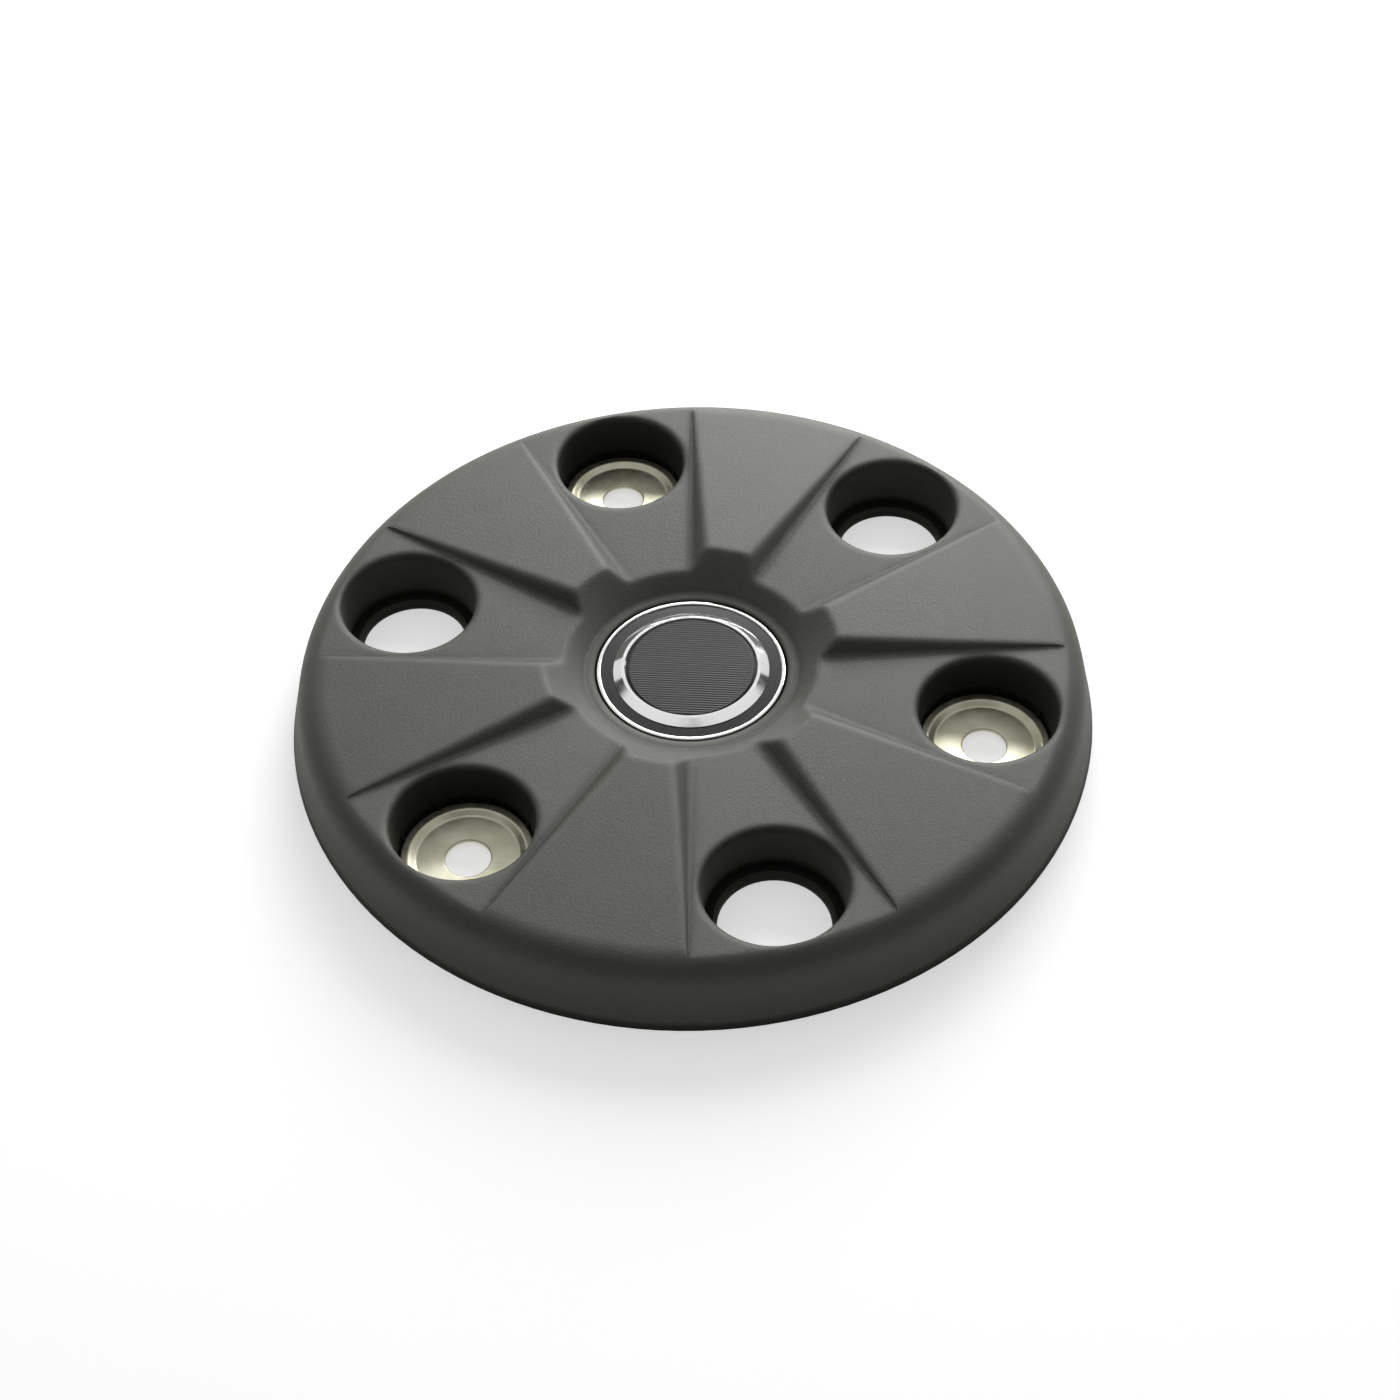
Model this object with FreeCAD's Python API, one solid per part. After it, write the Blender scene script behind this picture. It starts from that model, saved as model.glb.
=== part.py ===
import FreeCAD, Part
import math
import os

from FreeCAD import Vector

# Wheel centre cap: a round moulded cover with six bolt pockets, pressed steel cups in every second
# pocket and a round badge in the middle. Millimetres, +Z out of the wheel, origin at the centre of
# the back plane that rests on the wheel. The first steel cup lies on +X.

# Cover
cap_diameter = 276.0            # over the foot of the skirt
cap_height = 23.5               # back plane to the top of the raised pads
wall = 2.8                      # moulded wall of the cover
skirt_draft = 14.0              # degrees from vertical
shoulder_radius = 10.5          # rounding between skirt and face

# Hub in the middle of the face
platform_diameter = 73.4        # outer edge of the flat ring around the badge's recess
platform_width = 3.45           # width of that ring
platform_height = 14.2          # above the back plane
hub_slope = 34.0                # degrees from horizontal, cone from platform to face
hub_edge_radius = 2.2           # rounding where the cone meets the face and the platform

# Channels that carry the pockets
pocket_count = 6
channel_margin = 1.23           # floor of the channel beside the mouth of a pocket
channel_inner_depth = 4.7       # below the pads at the hub
channel_outer_depth = 0.5       # below the pads at the shoulder
channel_wall_slope = 40.0       # degrees from horizontal
channel_crease = 1.0            # crease radius as a share of the depth there
channel_lead = 6.0              # degrees, slope at which a channel wall runs out on a pad

# Bolt pockets
bolt_inset = 35.5               # bolt circle inside the foot of the skirt
pocket_mouth_radius = 23.5      # pocket wall at the mouth
pocket_floor_radius = 22.2      # pocket wall at the ledge
mouth_rounding = 1.8
ledge_height = 3.4              # ledge top above the back plane
ledge_hole_radius = 18.3
ledge_chamfer = 1.3             # at the edge of the hole, under the cup's bend
tube_wall = 2.2                 # pocket tube behind the face

# Snap noses that hold the cups
nose_count = 8
nose_reach = 0.9                # out of the pocket wall
nose_height = 2.4
nose_width = 1.3
nose_gap = 0.1                  # above the cup's flange

# Webs behind the face
web_thickness = 2.0
hub_web_foot = 10.0             # lower edge of the webs between hub and tubes
skirt_web_foot = 2.0            # lower edge of the webs between tubes and skirt

# Steel cups
cup_every = 2                   # a cup in every second pocket
cup_sheet = 1.5
cup_flange_clearance = 0.5      # flange to pocket wall
cup_bend_inset = 0.4            # the flange's bend inside the ledge's flat
cup_dish_drop = 1.3             # flange to the edge of the cup's floor
cup_dish_run = 2.3
cup_floor_fall = 0.75           # edge of the floor to the bolt hole
cup_hole_radius = 7.5
cup_bend_radius = 1.5
cup_hole_rounding = 0.4

# Badge
badge_clearance = 0.7           # badge to the wall of its recess
recess_depth = 2.2              # below the platform
recess_floor = 2.5              # thickness of plastic under the badge
plate_below_platform = 0.35     # badge plate under the platform
edge_ring_width = 1.6
edge_ring_seat = 0.9            # rebate in the plate that takes the edge ring
edge_ring_proud = 0.15          # edge ring above the platform
edge_ring_rounding = 0.5
ring_clearance = 0.1            # rings to the walls of their seats
field_radius = 22.4             # raised field in the middle of the plate
field_height = 1.4              # field above the rest of the plate
centre_ring_width = 4.3         # bright ring around the field
centre_ring_foot = 0.3          # height of the ring's outer edge
centre_ring_height = 1.9
centre_ring_flank = 2.8         # run of the outer flank
centre_ring_lip = 0.4           # chamfer at the inner edge
peg_count = 3
peg_circle_radius = 24.0
peg_radius = 2.5
peg_clearance = 0.2
peg_head = 0.9                  # staked head under the recess floor
peg_head_overlap = 0.8

# Values that follow from the sizes above
cap_radius = cap_diameter / 2
bolt_radius = cap_radius - bolt_inset
channel_half_angle = math.asin((pocket_mouth_radius + mouth_rounding + channel_margin) / bolt_radius)
platform_radius = platform_diameter / 2
recess_radius = platform_radius - platform_width
badge_radius = recess_radius - badge_clearance
recess_z = platform_height - recess_depth
face_inner_radius = platform_radius + (cap_height - platform_height) / math.tan(math.radians(hub_slope))
channel_inner_radius = (
    face_inner_radius - channel_inner_depth / math.tan(math.radians(hub_slope))
)
pocket_step = 360.0 / pocket_count
pocket_turns = [i * pocket_step for i in range(pocket_count)]
cup_turns = pocket_turns[::cup_every]
pocket_flare = (pocket_mouth_radius - pocket_floor_radius) / (cap_height - ledge_height)
flange_z = ledge_height + cup_sheet
under_recess = recess_z - recess_floor
plate_top = platform_height - plate_below_platform
rebate_radius = badge_radius - edge_ring_width
AXIS = Vector(0, 0, 1)
ORIGIN = Vector(0, 0, 0)
OVERRUN = 5.0                   # how far a cutting tool runs past the material
CLOSE = 0.01                    # how near to a surface an edge lies to count as on it


def turned(points):
    """Solid of revolution about Z from a closed outline of (radius, height) points."""
    corners = [Vector(r, 0, z) for r, z in points]
    outline = Part.makePolygon(corners + [corners[0]])
    return Part.Face(outline).revolve(ORIGIN, AXIS, 360)


def about_axis(shape, degrees):
    """A copy of the shape turned about the cap's axis."""
    copy = shape.copy()
    copy.rotate(ORIGIN, AXIS, degrees)
    return copy


def around(shape, count):
    """Equally spaced copies of the shape about the cap's axis."""
    return [about_axis(shape, i * 360.0 / count) for i in range(count)]


def at_bolt(shape, degrees):
    """The shape moved from the axis to the bolt circle, at that angle."""
    copy = shape.copy()
    copy.translate(Vector(bolt_radius, 0, 0))
    return about_axis(copy, degrees)


def shoulder(inset, top):
    """Arc between skirt and face, moved in by inset: (arc's start on the skirt, middle, end on the face)."""
    draft = math.radians(skirt_draft)
    radius = shoulder_radius - inset
    foot = cap_radius - inset / math.cos(draft)
    centre_z = top - radius
    centre_r = foot - centre_z * math.tan(draft) - radius / math.cos(draft)
    return [
        (centre_r + radius * math.cos(a), centre_z + radius * math.sin(a))
        for a in (draft, (draft + math.pi / 2) / 2, math.pi / 2)
    ]


def domed_disc(hub_points, inset, top, foot_z):
    """Revolved form under the face: the hub's outline, the flat face, the shoulder and the skirt."""
    skirt_top, mid, face_edge = [Vector(r, 0, z) for r, z in shoulder(inset, top)]
    draft = math.radians(skirt_draft)
    foot_r = cap_radius - inset / math.cos(draft) - foot_z * math.tan(draft)
    hub = [Vector(r, 0, z) for r, z in hub_points]
    foot = Vector(foot_r, 0, foot_z)
    edges = [Part.makeLine(a, b) for a, b in zip(hub, hub[1:])]
    edges.append(Part.makeLine(hub[-1], face_edge))
    edges.append(Part.Arc(face_edge, mid, skirt_top).toShape())
    edges.append(Part.makeLine(skirt_top, foot))
    edges.append(Part.makeLine(foot, Vector(0, 0, foot_z)))
    edges.append(Part.makeLine(Vector(0, 0, foot_z), hub[0]))
    return Part.Face(Part.Wire(edges)).revolve(ORIGIN, AXIS, 360)


def channel_depth(x):
    """Depth of a channel below the pads, at the distance x along its middle line."""
    run = shoulder(0, cap_height)[-1][0] - channel_inner_radius
    share = (x - channel_inner_radius) / run
    return channel_inner_depth + (channel_outer_depth - channel_inner_depth) * share


def channel_section(x):
    """Wire of a channel's cutting tool across its middle line: floor, crease, wall, crease and run-out."""
    depth = channel_depth(x)
    slope = math.radians(channel_wall_slope)
    lead = math.radians(channel_lead)
    crease = channel_crease * depth
    foot_y = x * math.tan(channel_half_angle)
    floor_z = cap_height - depth
    # lower crease, tangent to the floor and to the wall
    low_tangent = crease * math.tan(slope / 2)
    low = [Vector(x, foot_y - low_tangent + crease * math.sin(a), floor_z + crease * (1 - math.cos(a)))
           for a in (0, slope / 2, slope)]
    # upper crease, from the wall to the run-out, which starts at pad level
    top_drop = crease * (math.cos(lead) - math.cos(slope))
    wall_run = (depth - crease * (1 - math.cos(slope)) - top_drop) / math.tan(slope)
    wall_top = low[2] + Vector(0, wall_run, wall_run * math.tan(slope))
    high = [wall_top + Vector(0, math.sin(slope) - math.sin(a), math.cos(a) - math.cos(slope)) * crease
            for a in (slope, (slope + lead) / 2, lead)]
    run_out = high[2] + Vector(0, OVERRUN * math.cos(lead), OVERRUN * math.sin(lead))
    roof = Vector(x, run_out.y, cap_height + OVERRUN)

    def mirrored(v):
        return Vector(v.x, -v.y, v.z)

    edges = [
        Part.makeLine(mirrored(low[0]), low[0]),
        Part.Arc(*low).toShape(),
        Part.makeLine(low[2], high[0]),
        Part.Arc(*high).toShape(),
        Part.makeLine(high[2], run_out),
        Part.makeLine(run_out, roof),
        Part.makeLine(roof, mirrored(roof)),
        Part.makeLine(mirrored(roof), mirrored(run_out)),
        Part.makeLine(mirrored(run_out), mirrored(high[2])),
        Part.Arc(mirrored(high[2]), mirrored(high[1]), mirrored(high[0])).toShape(),
        Part.makeLine(mirrored(high[0]), mirrored(low[2])),
        Part.Arc(mirrored(low[2]), mirrored(low[1]), mirrored(low[0])).toShape(),
    ]
    return Part.Wire(edges)


def channel_tool():
    """Cutting tool of the channel on +X, from inside the hub's cone to past the shoulder's start."""
    start = platform_radius
    end = shoulder(0, cap_height)[-1][0] + shoulder_radius / 2
    return Part.makeLoft([channel_section(start), channel_section(end)], True, True)


def pocket_tool():
    """Cutting tool of one bolt pocket, about its own axis: mouth, ledge and through hole."""
    return turned([
        (0, -OVERRUN),
        (ledge_hole_radius, -OVERRUN),
        (ledge_hole_radius, ledge_height - ledge_chamfer),
        (ledge_hole_radius + ledge_chamfer, ledge_height),
        (pocket_floor_radius, ledge_height),
        (pocket_mouth_radius + OVERRUN * pocket_flare, cap_height + OVERRUN),
        (0, cap_height + OVERRUN),
    ])


def pocket_tube():
    """Outside of one pocket's tube behind the face, about its own axis."""
    foot = pocket_floor_radius - ledge_height * pocket_flare + tube_wall
    return turned([(0, 0), (foot, 0), (foot + cap_height * pocket_flare, cap_height), (0, cap_height)])


def outer_form():
    """The cap as a full block: hub, channels, shoulder, skirt and pocket mouths, with their roundings."""
    hub = [
        (0, recess_z),
        (recess_radius, recess_z),
        (recess_radius, platform_height),
        (platform_radius, platform_height),
        (face_inner_radius, cap_height),
    ]
    form = domed_disc(hub, 0, cap_height, 0)
    for tool in around(channel_tool(), pocket_count):
        form = form.cut(tool)
    form = form.makeFillet(hub_edge_radius, hub_edges(form))
    for turn in pocket_turns:
        form = form.cut(at_bolt(pocket_tool(), turn))
    return form.makeFillet(mouth_rounding, mouth_edges(form))


def hub_edges(form):
    """Edges of the block where the hub's cone meets the platform, the pads and the channels."""
    found = []
    for edge in form.Edges:
        middle = edge.valueAt((edge.FirstParameter + edge.LastParameter) / 2)
        radius = math.hypot(middle.x, middle.y)
        on_cone = platform_height + (radius - platform_radius) * math.tan(math.radians(hub_slope))
        seam = edge.Curve.TypeId == "Part::GeomLine"
        if radius > platform_radius - CLOSE and abs(middle.z - on_cone) < CLOSE and not seam:
            found.append(edge)
    return found


def mouth_edges(form):
    """Edges of the block at the mouths of the bolt pockets."""
    found = []
    for edge in form.Edges:
        middle = edge.valueAt((edge.FirstParameter + edge.LastParameter) / 2)
        turn = math.radians(round(math.degrees(math.atan2(middle.y, middle.x)) / pocket_step) * pocket_step)
        off = math.hypot(middle.x - bolt_radius * math.cos(turn), middle.y - bolt_radius * math.sin(turn))
        wall_radius = pocket_floor_radius + (middle.z - ledge_height) * pocket_flare
        above_ledge = middle.z > ledge_height + CLOSE
        if abs(off - wall_radius) < CLOSE and above_ledge and edge.Curve.TypeId != "Part::GeomLine":
            found.append(edge)
    return found


def hollow():
    """The space behind the face, around the pocket tubes and the webs."""
    under_face = cap_height - wall
    slope = math.radians(hub_slope)
    cone_drop = wall / math.cos(slope)
    cone_start = platform_radius - (platform_height - cone_drop - under_recess) / math.tan(slope)
    cone_end = cone_start + (under_face - under_recess) / math.tan(slope)
    hub = [(0, under_recess), (cone_start, under_recess), (cone_end, under_face)]
    space = domed_disc(hub, wall, under_face, -OVERRUN)
    under_channel = channel_tool()
    under_channel.translate(Vector(0, 0, -wall))
    for tool in around(under_channel, pocket_count):
        space = space.cut(tool)
    for turn in pocket_turns:
        space = space.cut(at_bolt(pocket_tube(), turn))
    for web in around(hub_web(), pocket_count) + around(skirt_web(), pocket_count):
        space = space.cut(web)
    return space


def hub_web():
    """Web behind the channel on +X, between the hub and the pocket's tube."""
    start = recess_radius
    return Part.makeBox(bolt_radius - start, web_thickness, cap_height - hub_web_foot,
                        Vector(start, -web_thickness / 2, hub_web_foot))


def skirt_web():
    """Web behind the channel on +X, between the pocket's tube and the skirt."""
    return Part.makeBox(cap_radius - bolt_radius, web_thickness, cap_height - skirt_web_foot,
                        Vector(bolt_radius, -web_thickness / 2, skirt_web_foot))


def snap_nose():
    """One wedge on the pocket wall above the cup's flange, about the pocket's axis."""
    low = flange_z + nose_gap
    inside = pocket_floor_radius - nose_reach
    root = pocket_floor_radius + tube_wall / 2
    wedge = [(inside, low), (root, low), (root, low + nose_height), (pocket_floor_radius, low + nose_height)]
    corners = [Vector(r, -nose_width / 2, z) for r, z in wedge]
    return Part.Face(Part.makePolygon(corners + [corners[0]])).extrude(Vector(0, nose_width, 0))


def cap_cover():
    """The moulded cover."""
    cover = outer_form().cut(hollow())
    hole = Part.makeCylinder(peg_radius + peg_clearance, recess_z + OVERRUN, Vector(peg_circle_radius, 0, 0))
    for tool in around(hole, peg_count):
        cover = cover.cut(tool)
    for turn in cup_turns:
        for nose in around(snap_nose(), nose_count):
            nose.rotate(ORIGIN, AXIS, -turn)
            cover = cover.fuse(at_bolt(nose, turn))
    return cover.removeSplitter()


def retainer_cup():
    """Pressed steel cup about its own axis: flange, shallow dish and bolt hole."""
    flange_radius = pocket_floor_radius - cup_flange_clearance
    bend = ledge_hole_radius + ledge_chamfer - cup_bend_inset
    floor_edge = bend - cup_dish_run
    top = [
        (flange_radius, flange_z),
        (bend, flange_z),
        (floor_edge, flange_z - cup_dish_drop),
        (cup_hole_radius, flange_z - cup_dish_drop - cup_floor_fall),
    ]
    under = [(r, z - cup_sheet) for r, z in reversed(top)]
    cup = turned(top + under)
    bends = [e for e in cup.Edges if round_edge_radius(e) in (round(bend, 3), round(floor_edge, 3))]
    cup = cup.makeFillet(cup_bend_radius, bends)
    rim = [e for e in cup.Edges if round_edge_radius(e) == round(cup_hole_radius, 3)]
    return cup.makeFillet(cup_hole_rounding, rim)


def round_edge_radius(edge):
    """Radius of a full circle about Z, or 0 for any other edge."""
    return round(edge.Curve.Radius, 3) if edge.Curve.TypeId == "Part::GeomCircle" else 0


def badge_plate():
    """Round badge plate with a rebate for its edge ring and staked pegs through the recess floor."""
    plate = turned([
        (0, recess_z),
        (badge_radius, recess_z),
        (badge_radius, plate_top - edge_ring_seat),
        (rebate_radius, plate_top - edge_ring_seat),
        (rebate_radius, plate_top),
        (field_radius, plate_top),
        (field_radius, plate_top + field_height),
        (0, plate_top + field_height),
    ])
    peg = Part.makeCylinder(peg_radius, recess_floor + peg_head, Vector(0, 0, under_recess - peg_head))
    head = Part.makeCylinder(peg_radius + peg_head_overlap, peg_head, Vector(0, 0, under_recess - peg_head))
    stake = peg.fuse(head)
    stake.translate(Vector(peg_circle_radius, 0, 0))
    for one in around(stake, peg_count):
        plate = plate.fuse(one)
    return plate.removeSplitter()


def badge_edge_ring():
    """Thin bright ring in the badge plate's rebate."""
    seat = plate_top - edge_ring_seat
    high = platform_height + edge_ring_proud
    inside = rebate_radius + ring_clearance
    ring = turned([(inside, seat), (badge_radius, seat), (badge_radius, high), (inside, high)])
    top = [e for e in ring.Edges if round_edge_radius(e) and e.CenterOfMass.z > high - CLOSE]
    return ring.makeFillet(edge_ring_rounding, top)


def badge_centre_ring():
    """Plain raised ring around the field, with a wide sloping outer flank."""
    inside = field_radius + ring_clearance
    outside = inside + centre_ring_width
    high = plate_top + centre_ring_height
    return turned([
        (inside, plate_top),
        (outside, plate_top),
        (outside, plate_top + centre_ring_foot),
        (outside - centre_ring_flank, high),
        (inside + centre_ring_lip, high),
        (inside, high - centre_ring_lip),
    ])


def main():
    os.makedirs("parts", exist_ok=True)
    parts = {
        "cap_cover": cap_cover(),
        "badge_plate": badge_plate(),
        "badge_edge_ring": badge_edge_ring(),
        "badge_centre_ring": badge_centre_ring(),
    }
    for i, turn in enumerate(cup_turns):
        parts["retainer_cup_%d" % (i + 1)] = at_bolt(retainer_cup(), turn)
    for name, shape in parts.items():
        shape.exportStep("parts/%s.step" % name)
        print(name, "solids", len(shape.Solids), "valid", shape.isValid(), "volume", round(shape.Volume, 1))


main()
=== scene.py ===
import math

import bmesh
import bpy
from mathutils import Matrix, Vector


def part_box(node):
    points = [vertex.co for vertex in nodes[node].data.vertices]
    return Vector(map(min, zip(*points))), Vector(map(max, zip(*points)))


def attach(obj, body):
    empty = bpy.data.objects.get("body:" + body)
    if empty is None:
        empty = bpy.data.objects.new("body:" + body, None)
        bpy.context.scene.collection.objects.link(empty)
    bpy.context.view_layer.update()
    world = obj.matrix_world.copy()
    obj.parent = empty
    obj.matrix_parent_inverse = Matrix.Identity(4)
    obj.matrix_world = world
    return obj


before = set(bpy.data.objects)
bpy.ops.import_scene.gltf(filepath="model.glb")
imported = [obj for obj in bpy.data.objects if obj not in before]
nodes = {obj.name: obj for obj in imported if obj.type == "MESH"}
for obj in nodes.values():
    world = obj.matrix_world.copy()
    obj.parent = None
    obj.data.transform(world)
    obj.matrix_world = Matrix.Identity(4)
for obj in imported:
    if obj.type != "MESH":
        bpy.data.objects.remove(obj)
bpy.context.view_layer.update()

mm = 0.001  # the sizes below are in millimetres
scene = bpy.context.scene
print("frame loaded:", len(nodes), "solids")


# small helpers for node materials

def startMaterial(name):
    material = bpy.data.materials.new(name)
    material.use_nodes = True
    tree = material.node_tree
    return material, tree, tree.nodes["Principled BSDF"]


def addNode(tree, kind, **values):
    node = tree.nodes.new(kind)
    for key, value in values.items():
        if key in node.inputs:
            node.inputs[key].default_value = value
        else:
            setattr(node, key, value)
    return node


def placeNode(tree):
    # surface points in metres, the same on every piece
    return addNode(tree, "ShaderNodeTexCoord").outputs["Object"]


def noiseNode(tree, where, sizeMm, detail=2.0, roughness=0.5):
    scale = 1 / (sizeMm * mm)
    noise = addNode(tree, "ShaderNodeTexNoise", Scale=scale, Detail=detail, Roughness=roughness)
    tree.links.new(where, noise.inputs["Vector"])
    return noise.outputs["Fac"]


def rangeNode(tree, value, low, high, start=0.0, end=1.0):
    node = tree.nodes.new("ShaderNodeMapRange")
    tree.links.new(value, node.inputs["Value"])
    node.inputs["From Min"].default_value = start
    node.inputs["From Max"].default_value = end
    node.inputs["To Min"].default_value = low
    node.inputs["To Max"].default_value = high
    return node.outputs["Result"]


def blendNode(tree, factor, first, second):
    # sockets 6 and 7 take the two colours, plain or from a node, and 2 gives the result
    node = addNode(tree, "ShaderNodeMix", data_type="RGBA")
    tree.links.new(factor, node.inputs[0])
    for socket, colour in ((node.inputs[6], first), (node.inputs[7], second)):
        if isinstance(colour, tuple):
            socket.default_value = (*colour, 1)
        else:
            tree.links.new(colour, socket)
    return node.outputs[2]


def vectorNode(tree, operation, first, second=(0, 0, 0)):
    node = addNode(tree, "ShaderNodeVectorMath", operation=operation)
    tree.links.new(first, node.inputs[0])
    node.inputs[1].default_value = second
    return node


def openNode(tree, reachMm, span):
    # 0 where walls within reach close the surface in, 1 where it lies open
    node = addNode(tree, "ShaderNodeAmbientOcclusion", Distance=reachMm * mm, samples=8)
    return rangeNode(tree, node.outputs["AO"], 0, 1, *span)


def bumpNode(tree, height, depthMm, strength, under=None):
    node = addNode(tree, "ShaderNodeBump", Strength=strength, Distance=depthMm * mm)
    tree.links.new(height, node.inputs["Height"])
    if under:
        tree.links.new(under, node.inputs["Normal"])
    return node.outputs["Normal"]


def softNode(tree, radiusMm, samples):
    # rounds the shading over sharp edges
    node = addNode(tree, "ShaderNodeBevel", Radius=radiusMm * mm, samples=samples)
    return node.outputs["Normal"]


def dress(piece, material):
    piece.data.materials.clear()
    piece.data.materials.append(material)


# moulded cover: matte grey plastic with a fine spark-eroded grain

coverLook = {
    "darkGrey": (0.0545, 0.0570, 0.0440),
    "paleGrey": (0.0595, 0.0622, 0.0485),
    "cloudMm": 16.0,
    "cloudSpan": (0.35, 0.65),
    "grainMm": 0.75,
    "grainDepthMm": 0.16,
    "grainStrength": 0.8,
    "waveMm": 5.0,
    "waveDepthMm": 0.06,
    "waveStrength": 0.3,
    "softEdgeMm": 3.6,
    "softEdgeSamples": 8,
    # painted shade: the grey that closed-in spots are darkened towards, and the reaches and
    # spans of the two occlusion masks that place it
    "paintedShadeGrey": (0.011, 0.0115, 0.0092),
    "recessShadeMm": 40.0,
    "recessShadeSpan": (0.20, 0.99),
    "creaseShadeMm": 4.0,
    "creaseShadeSpan": (0.86, 1.0),
    "roughness": (0.50, 0.62),
    "gloss": (0.06, 0.42),
}


def coverPlastic(look):
    material, tree, shader = startMaterial("coverPlastic")
    where = placeNode(tree)
    cloud = noiseNode(tree, where, look["cloudMm"], detail=4.0, roughness=0.6)
    grain = noiseNode(tree, where, look["grainMm"], detail=4.0, roughness=0.7)
    wave = noiseNode(tree, where, look["waveMm"], detail=1.0)
    patches = rangeNode(tree, cloud, 0, 1, *look["cloudSpan"])
    colour = blendNode(tree, patches, look["darkGrey"], look["paleGrey"])
    # painted shade: the colour is darkened and the gloss lowered where the surface is closed
    # in: creases, pockets, the hub's foot
    clear = addNode(tree, "ShaderNodeMath", operation="MULTIPLY")
    tree.links.new(openNode(tree, look["recessShadeMm"], look["recessShadeSpan"]), clear.inputs[0])
    tree.links.new(openNode(tree, look["creaseShadeMm"], look["creaseShadeSpan"]), clear.inputs[1])
    shaded = blendNode(tree, clear.outputs[0], look["paintedShadeGrey"], colour)
    gloss = rangeNode(tree, clear.outputs[0], *look["gloss"])
    tree.links.new(shaded, shader.inputs["Base Color"])
    tree.links.new(gloss, shader.inputs["Specular IOR Level"])
    tree.links.new(rangeNode(tree, grain, *look["roughness"]), shader.inputs["Roughness"])
    softEdge = softNode(tree, look["softEdgeMm"], look["softEdgeSamples"])
    waves = bumpNode(tree, wave, look["waveDepthMm"], look["waveStrength"], softEdge)
    grains = bumpNode(tree, grain, look["grainDepthMm"], look["grainStrength"], waves)
    tree.links.new(grains, shader.inputs["Normal"])
    return material


dress(nodes["cap_cover"], coverPlastic(coverLook))
print("cover: grained plastic")


# pressed cups: plated steel with drawing marks around each cup's own axis

cupLook = {
    "warmNickel": (0.45, 0.44, 0.33),
    "paleNickel": (0.57, 0.56, 0.44),
    "cloudMm": 6.0,
    "cloudSpan": (0.35, 0.65),
    "drawMarkMm": 0.6,
    "drawMarkDepthMm": 0.006,
    "drawMarkStrength": 0.3,
    "dimpleMm": 3.0,
    "dimpleSpan": (0.3, 0.7),
    "dimpleDepthMm": 0.02,
    "dimpleStrength": 0.25,
    "softBendMm": 0.6,
    "softBendSamples": 6,
    "roughness": (0.31, 0.39),
}


def cupSteel(name, centre, look):
    material, tree, shader = startMaterial(name)
    where = placeNode(tree)
    fromCentre = vectorNode(tree, "SUBTRACT", where, centre)
    flat = vectorNode(tree, "MULTIPLY", fromCentre.outputs["Vector"], (1, 1, 0))
    radius = vectorNode(tree, "LENGTH", flat.outputs["Vector"])
    # fine rings: noise read along the radius only
    ring = addNode(tree, "ShaderNodeCombineXYZ")
    tree.links.new(radius.outputs["Value"], ring.inputs["X"])
    mark = noiseNode(tree, ring.outputs["Vector"], look["drawMarkMm"], detail=3.0)
    dimple = noiseNode(tree, where, look["dimpleMm"])
    cloud = noiseNode(tree, where, look["cloudMm"], detail=3.0)
    patches = rangeNode(tree, cloud, 0, 1, *look["cloudSpan"])
    colour = blendNode(tree, patches, look["warmNickel"], look["paleNickel"])
    roughness = rangeNode(tree, dimple, *look["roughness"], *look["dimpleSpan"])
    tree.links.new(colour, shader.inputs["Base Color"])
    tree.links.new(roughness, shader.inputs["Roughness"])
    softBend = softNode(tree, look["softBendMm"], look["softBendSamples"])
    dimples = bumpNode(tree, dimple, look["dimpleDepthMm"], look["dimpleStrength"], softBend)
    marks = bumpNode(tree, mark, look["drawMarkDepthMm"], look["drawMarkStrength"], dimples)
    tree.links.new(marks, shader.inputs["Normal"])
    shader.inputs["Metallic"].default_value = 1.0
    return material


for cup in ("retainer_cup_1", "retainer_cup_2", "retainer_cup_3"):
    low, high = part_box(cup)
    dress(nodes[cup], cupSteel("cupSteel" + cup[-1], (low + high) / 2, cupLook))
print("cups: plated steel")


# badge: satin black plate, bright rings, ribbed field

brightLook = {
    "silver": (0.95, 0.955, 0.95),
    "hazeMm": 3.0,
    "hazeSpan": (0.3, 0.7),
    "roughness": (0.06, 0.12),
}
plateLook = {
    "black": (0.006, 0.006, 0.0065),
    "softBlack": (0.009, 0.009, 0.0095),
    "roughness": (0.12, 0.18),
    "gloss": 0.5,
}
fieldBlackLook = {
    "black": (0.008, 0.008, 0.0085),
    "softBlack": (0.012, 0.012, 0.0125),
    "roughness": (0.40, 0.48),
    "gloss": 0.22,
}
# plate and field are one plastic and share its clouds and grain
badgeGrain = {"cloudMm": 9.0, "sizeMm": 0.25, "depthMm": 0.02, "strength": 0.3}


def brightPlate(look):
    material, tree, shader = startMaterial("brightPlate")
    haze = noiseNode(tree, placeNode(tree), look["hazeMm"], detail=3.0)
    roughness = rangeNode(tree, haze, *look["roughness"], *look["hazeSpan"])
    tree.links.new(roughness, shader.inputs["Roughness"])
    shader.inputs["Base Color"].default_value = (*look["silver"], 1)
    shader.inputs["Metallic"].default_value = 1.0
    return material


def badgeBlack(name, look):
    material, tree, shader = startMaterial(name)
    where = placeNode(tree)
    grain = noiseNode(tree, where, badgeGrain["sizeMm"])
    cloud = noiseNode(tree, where, badgeGrain["cloudMm"])
    colour = blendNode(tree, cloud, look["black"], look["softBlack"])
    grains = bumpNode(tree, grain, badgeGrain["depthMm"], badgeGrain["strength"])
    tree.links.new(colour, shader.inputs["Base Color"])
    tree.links.new(rangeNode(tree, grain, *look["roughness"]), shader.inputs["Roughness"])
    tree.links.new(grains, shader.inputs["Normal"])
    shader.inputs["Specular IOR Level"].default_value = look["gloss"]
    return material


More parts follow.
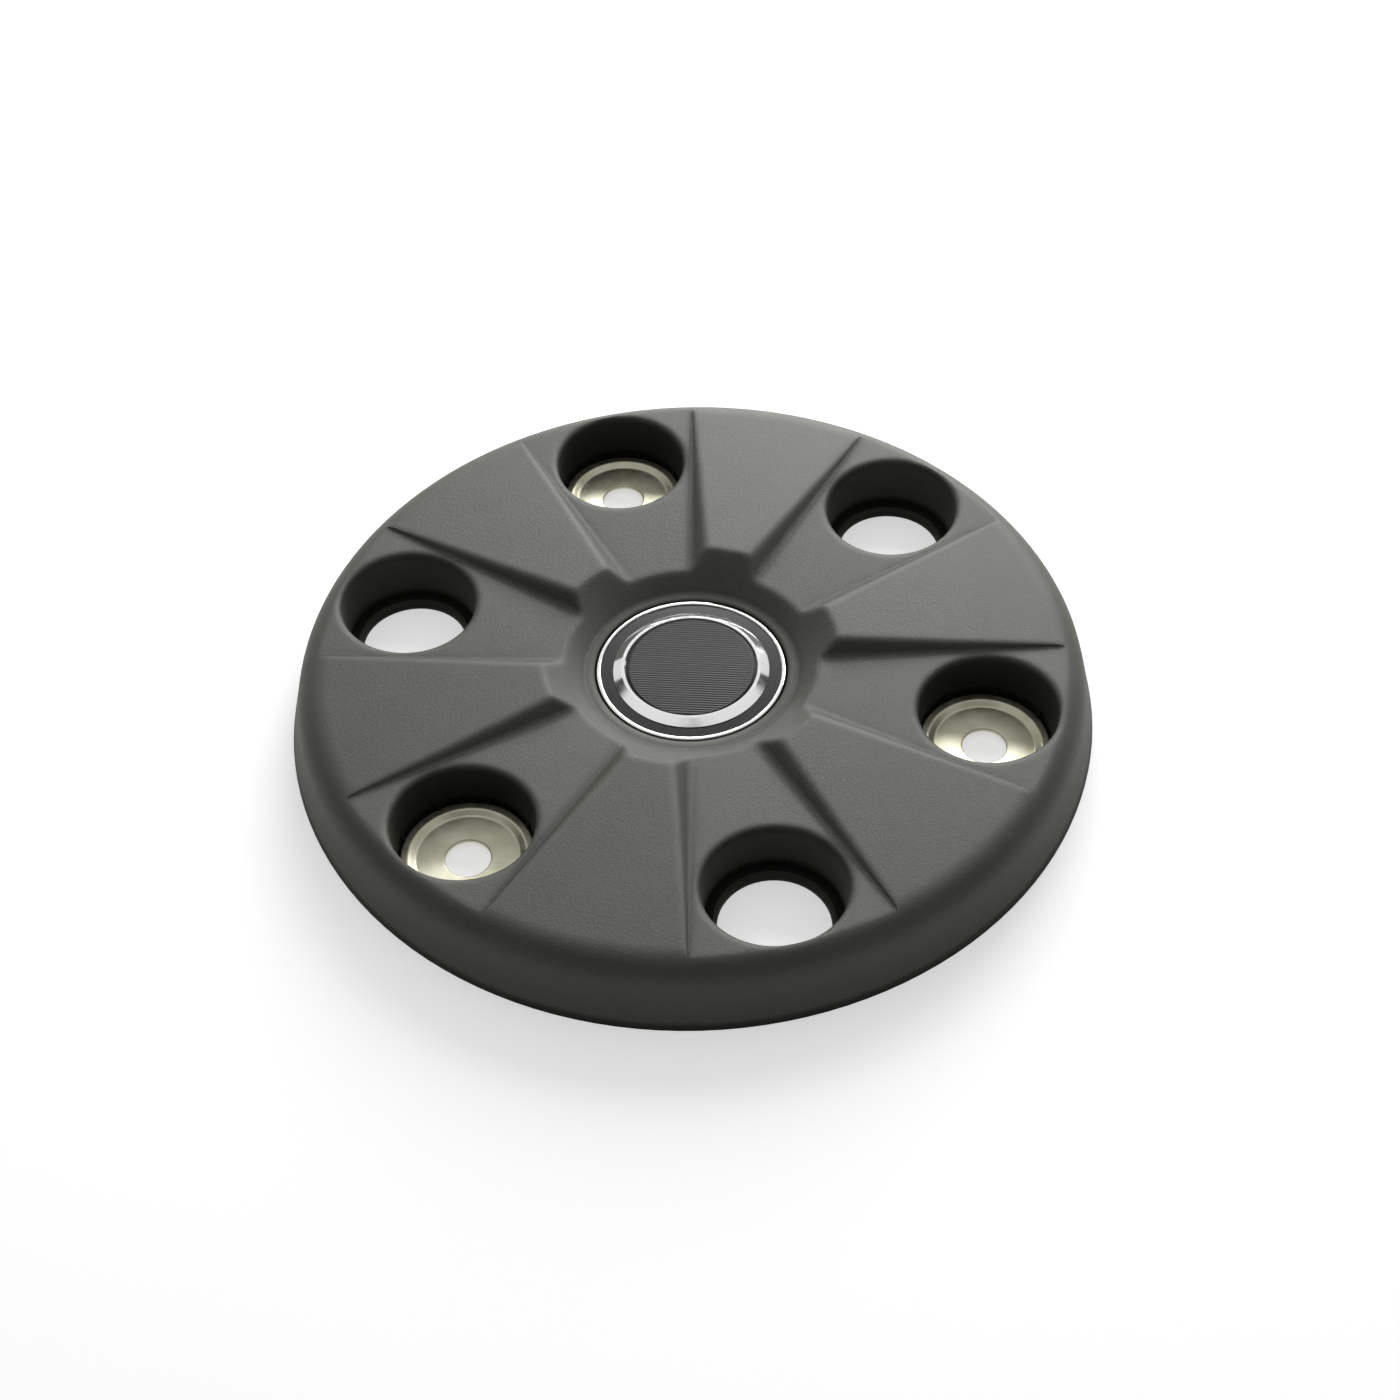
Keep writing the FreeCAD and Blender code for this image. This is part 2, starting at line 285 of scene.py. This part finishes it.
bright = brightPlate(brightLook)
black = badgeBlack("badgeBlack", plateLook)
fieldBlack = badgeBlack("fieldBlack", fieldBlackLook)
dress(nodes["badge_edge_ring"], bright)
dress(nodes["badge_centre_ring"], bright)
dress(nodes["badge_plate"], black)

fieldLook = {
    "radiusMm": 22.2,
    "edgeShare": 0.9995,  # the outermost lines lie just inside the radius
    "pitchMm": 1.05,
    "ribHeightMm": 0.20,
    "stepsPerRib": 6,
    "columns": 40,
    "turnDeg": 10.8,  # the ribs run along this direction
}


def ribbedField(look):
    # round sheet of half-round ribs on the plate's raised field
    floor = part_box("badge_plate")[1].z
    radius = look["radiusMm"] * mm
    pitch = look["pitchMm"] * mm
    reach = radius * look["edgeShare"]
    columns = look["columns"]
    rows = int(2 * radius / pitch * look["stepsPerRib"])
    mesh = bmesh.new()
    lines = []
    for i in range(rows + 1):
        across = -reach + 2 * reach * i / rows
        half = math.sqrt(radius * radius - across * across)
        phase = (across / pitch) % 1.0
        rise = look["ribHeightMm"] * mm * math.sqrt(max(0.0, 1 - (2 * phase - 1) ** 2))
        lengths = [half * (2 * j / columns - 1) for j in range(columns + 1)]
        lines.append([mesh.verts.new((along, across, floor + rise)) for along in lengths])
    for near, far in zip(lines, lines[1:]):
        for a, b, c, d in zip(near, near[1:], far[1:], far):
            mesh.faces.new((a, b, c, d)).smooth = True
    # skirt down to the plate, so that the sheet is closed to the eye
    rim = [edge for edge in mesh.edges if edge.is_boundary]
    down = bmesh.ops.extrude_edge_only(mesh, edges=rim)["geom"]
    for corner in down:
        if isinstance(corner, bmesh.types.BMVert):
            corner.co.z = floor
    turn = Matrix.Rotation(math.radians(look["turnDeg"]), 3, "Z")
    bmesh.ops.rotate(mesh, verts=mesh.verts, cent=(0, 0, 0), matrix=turn)
    bmesh.ops.recalc_face_normals(mesh, faces=mesh.faces)
    data = bpy.data.meshes.new("badge_field_ribs")
    mesh.to_mesh(data)
    mesh.free()
    piece = bpy.data.objects.new("badge_field_ribs", data)
    scene.collection.objects.link(piece)
    dress(piece, fieldBlack)
    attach(piece, "root")


ribbedField(fieldLook)
print("badge: plate, rings and ribs")


# camera, floor and lights, placed in the photograph's own directions

cameraLook = {
    "turnDeg": 16.62,  # the camera stands this far round from -Y
    "placeMm": (0.0, -501.19, 548.48),
    "panRad": 0.0054,
    "tiltRad": 0.8321,
    "rollRad": -0.0286,
    "focalPx": 2133.76,
    "imagePx": 1400,
    "sensorMm": 36.0,
    "clipMm": 10.0,
}
photoTurn = Matrix.Rotation(math.radians(cameraLook["turnDeg"]), 4, "Z")


def makeCamera(look):
    pan, tilt, roll = look["panRad"], look["tiltRad"], look["rollRad"]
    level = math.cos(tilt)
    ahead = Vector((math.sin(pan) * level, math.cos(pan) * level, -math.sin(tilt)))
    right = Vector((math.cos(pan), -math.sin(pan), 0))
    up = right.cross(ahead)
    sideways = right * math.cos(roll) + up * math.sin(roll)
    upright = up * math.cos(roll) - right * math.sin(roll)
    stand = Matrix((sideways, upright, -ahead)).transposed().to_4x4()
    stand.translation = Vector(look["placeMm"]) * mm
    camera = bpy.data.objects.new("camera", bpy.data.cameras.new("camera"))
    scene.collection.objects.link(camera)
    camera.matrix_world = photoTurn @ stand
    camera.data.sensor_width = look["sensorMm"]
    camera.data.lens = look["focalPx"] / look["imagePx"] * look["sensorMm"]
    camera.data.clip_start = look["clipMm"] * mm
    scene.camera = camera


makeCamera(cameraLook)

floorLook = {
    "flatMm": 3900.0,
    "coveMm": 600.0,
    "coveSteps": 12,
    "segments": 96,
    "paper": (0.66, 0.66, 0.655),
    "roughness": 0.9,
    "gloss": 0.1,
    "glow": 0.50,
    "dropMm": 0.05,
}


def makeFloor(look):
    # round paper sheet that curls up at its edge, far from the cap on every side
    count = look["segments"]
    corners = []
    for step in range(look["coveSteps"] + 1):
        bend = math.radians(90 * step / look["coveSteps"])
        radius = (look["flatMm"] + look["coveMm"] * math.sin(bend)) * mm
        height = (look["coveMm"] * (1 - math.cos(bend)) - look["dropMm"]) * mm
        for i in range(count):
            turn = 2 * math.pi * i / count
            corners.append((radius * math.cos(turn), radius * math.sin(turn), height))
    sides = [tuple(range(count))]
    for ring in range(look["coveSteps"]):
        for i in range(count):
            first = ring * count + i
            second = ring * count + (i + 1) % count
            sides.append((first, first + count, second + count, second))
    data = bpy.data.meshes.new("floor")
    data.from_pydata(corners, [], sides)
    data.shade_smooth()
    floor = bpy.data.objects.new("floor", data)
    scene.collection.objects.link(floor)
    material, _, shader = startMaterial("whitePaper")
    shader.inputs["Base Color"].default_value = (*look["paper"], 1)
    shader.inputs["Roughness"].default_value = look["roughness"]
    shader.inputs["Specular IOR Level"].default_value = look["gloss"]
    # a lit table, so that shadows stay pale
    shader.inputs["Emission Color"].default_value = (1, 1, 1, 1)
    shader.inputs["Emission Strength"].default_value = look["glow"]
    dress(floor, material)


makeFloor(floorLook)

# area lights in metres, aimed at the cap; -Y is the photograph's near side
lampLook = {
    "keyPanel": {"place": (0.20, 0.80, 0.44), "size": (0.7, 0.5), "power": 12.0},
    "skyPanel": {"place": (0.0, 0.5, 1.5), "size": (3.4, 2.4), "power": 18.0},
    "backPanel": {"place": (0.0, 1.7, 0.75), "size": (3.8, 1.2), "power": 9.5},
}
worldGrey = 0.05


def makeLamps(look):
    for name, lamp in look.items():
        data = bpy.data.lights.new(name, "AREA")
        data.shape = "RECTANGLE"
        data.size, data.size_y = lamp["size"]
        data.energy = lamp["power"]
        place = Vector(lamp["place"])
        aim = place.to_track_quat("Z", "Y")
        piece = bpy.data.objects.new(name, data)
        scene.collection.objects.link(piece)
        piece.matrix_world = photoTurn @ Matrix.LocRotScale(place, aim, None)


makeLamps(lampLook)
world = bpy.data.worlds.new("studio")
world.use_nodes = True
background = world.node_tree.nodes["Background"]
background.inputs["Color"].default_value = (worldGrey, worldGrey, worldGrey, 1)
scene.world = world
scene.view_settings.view_transform = "Standard"
print("studio: camera, floor and lamps")
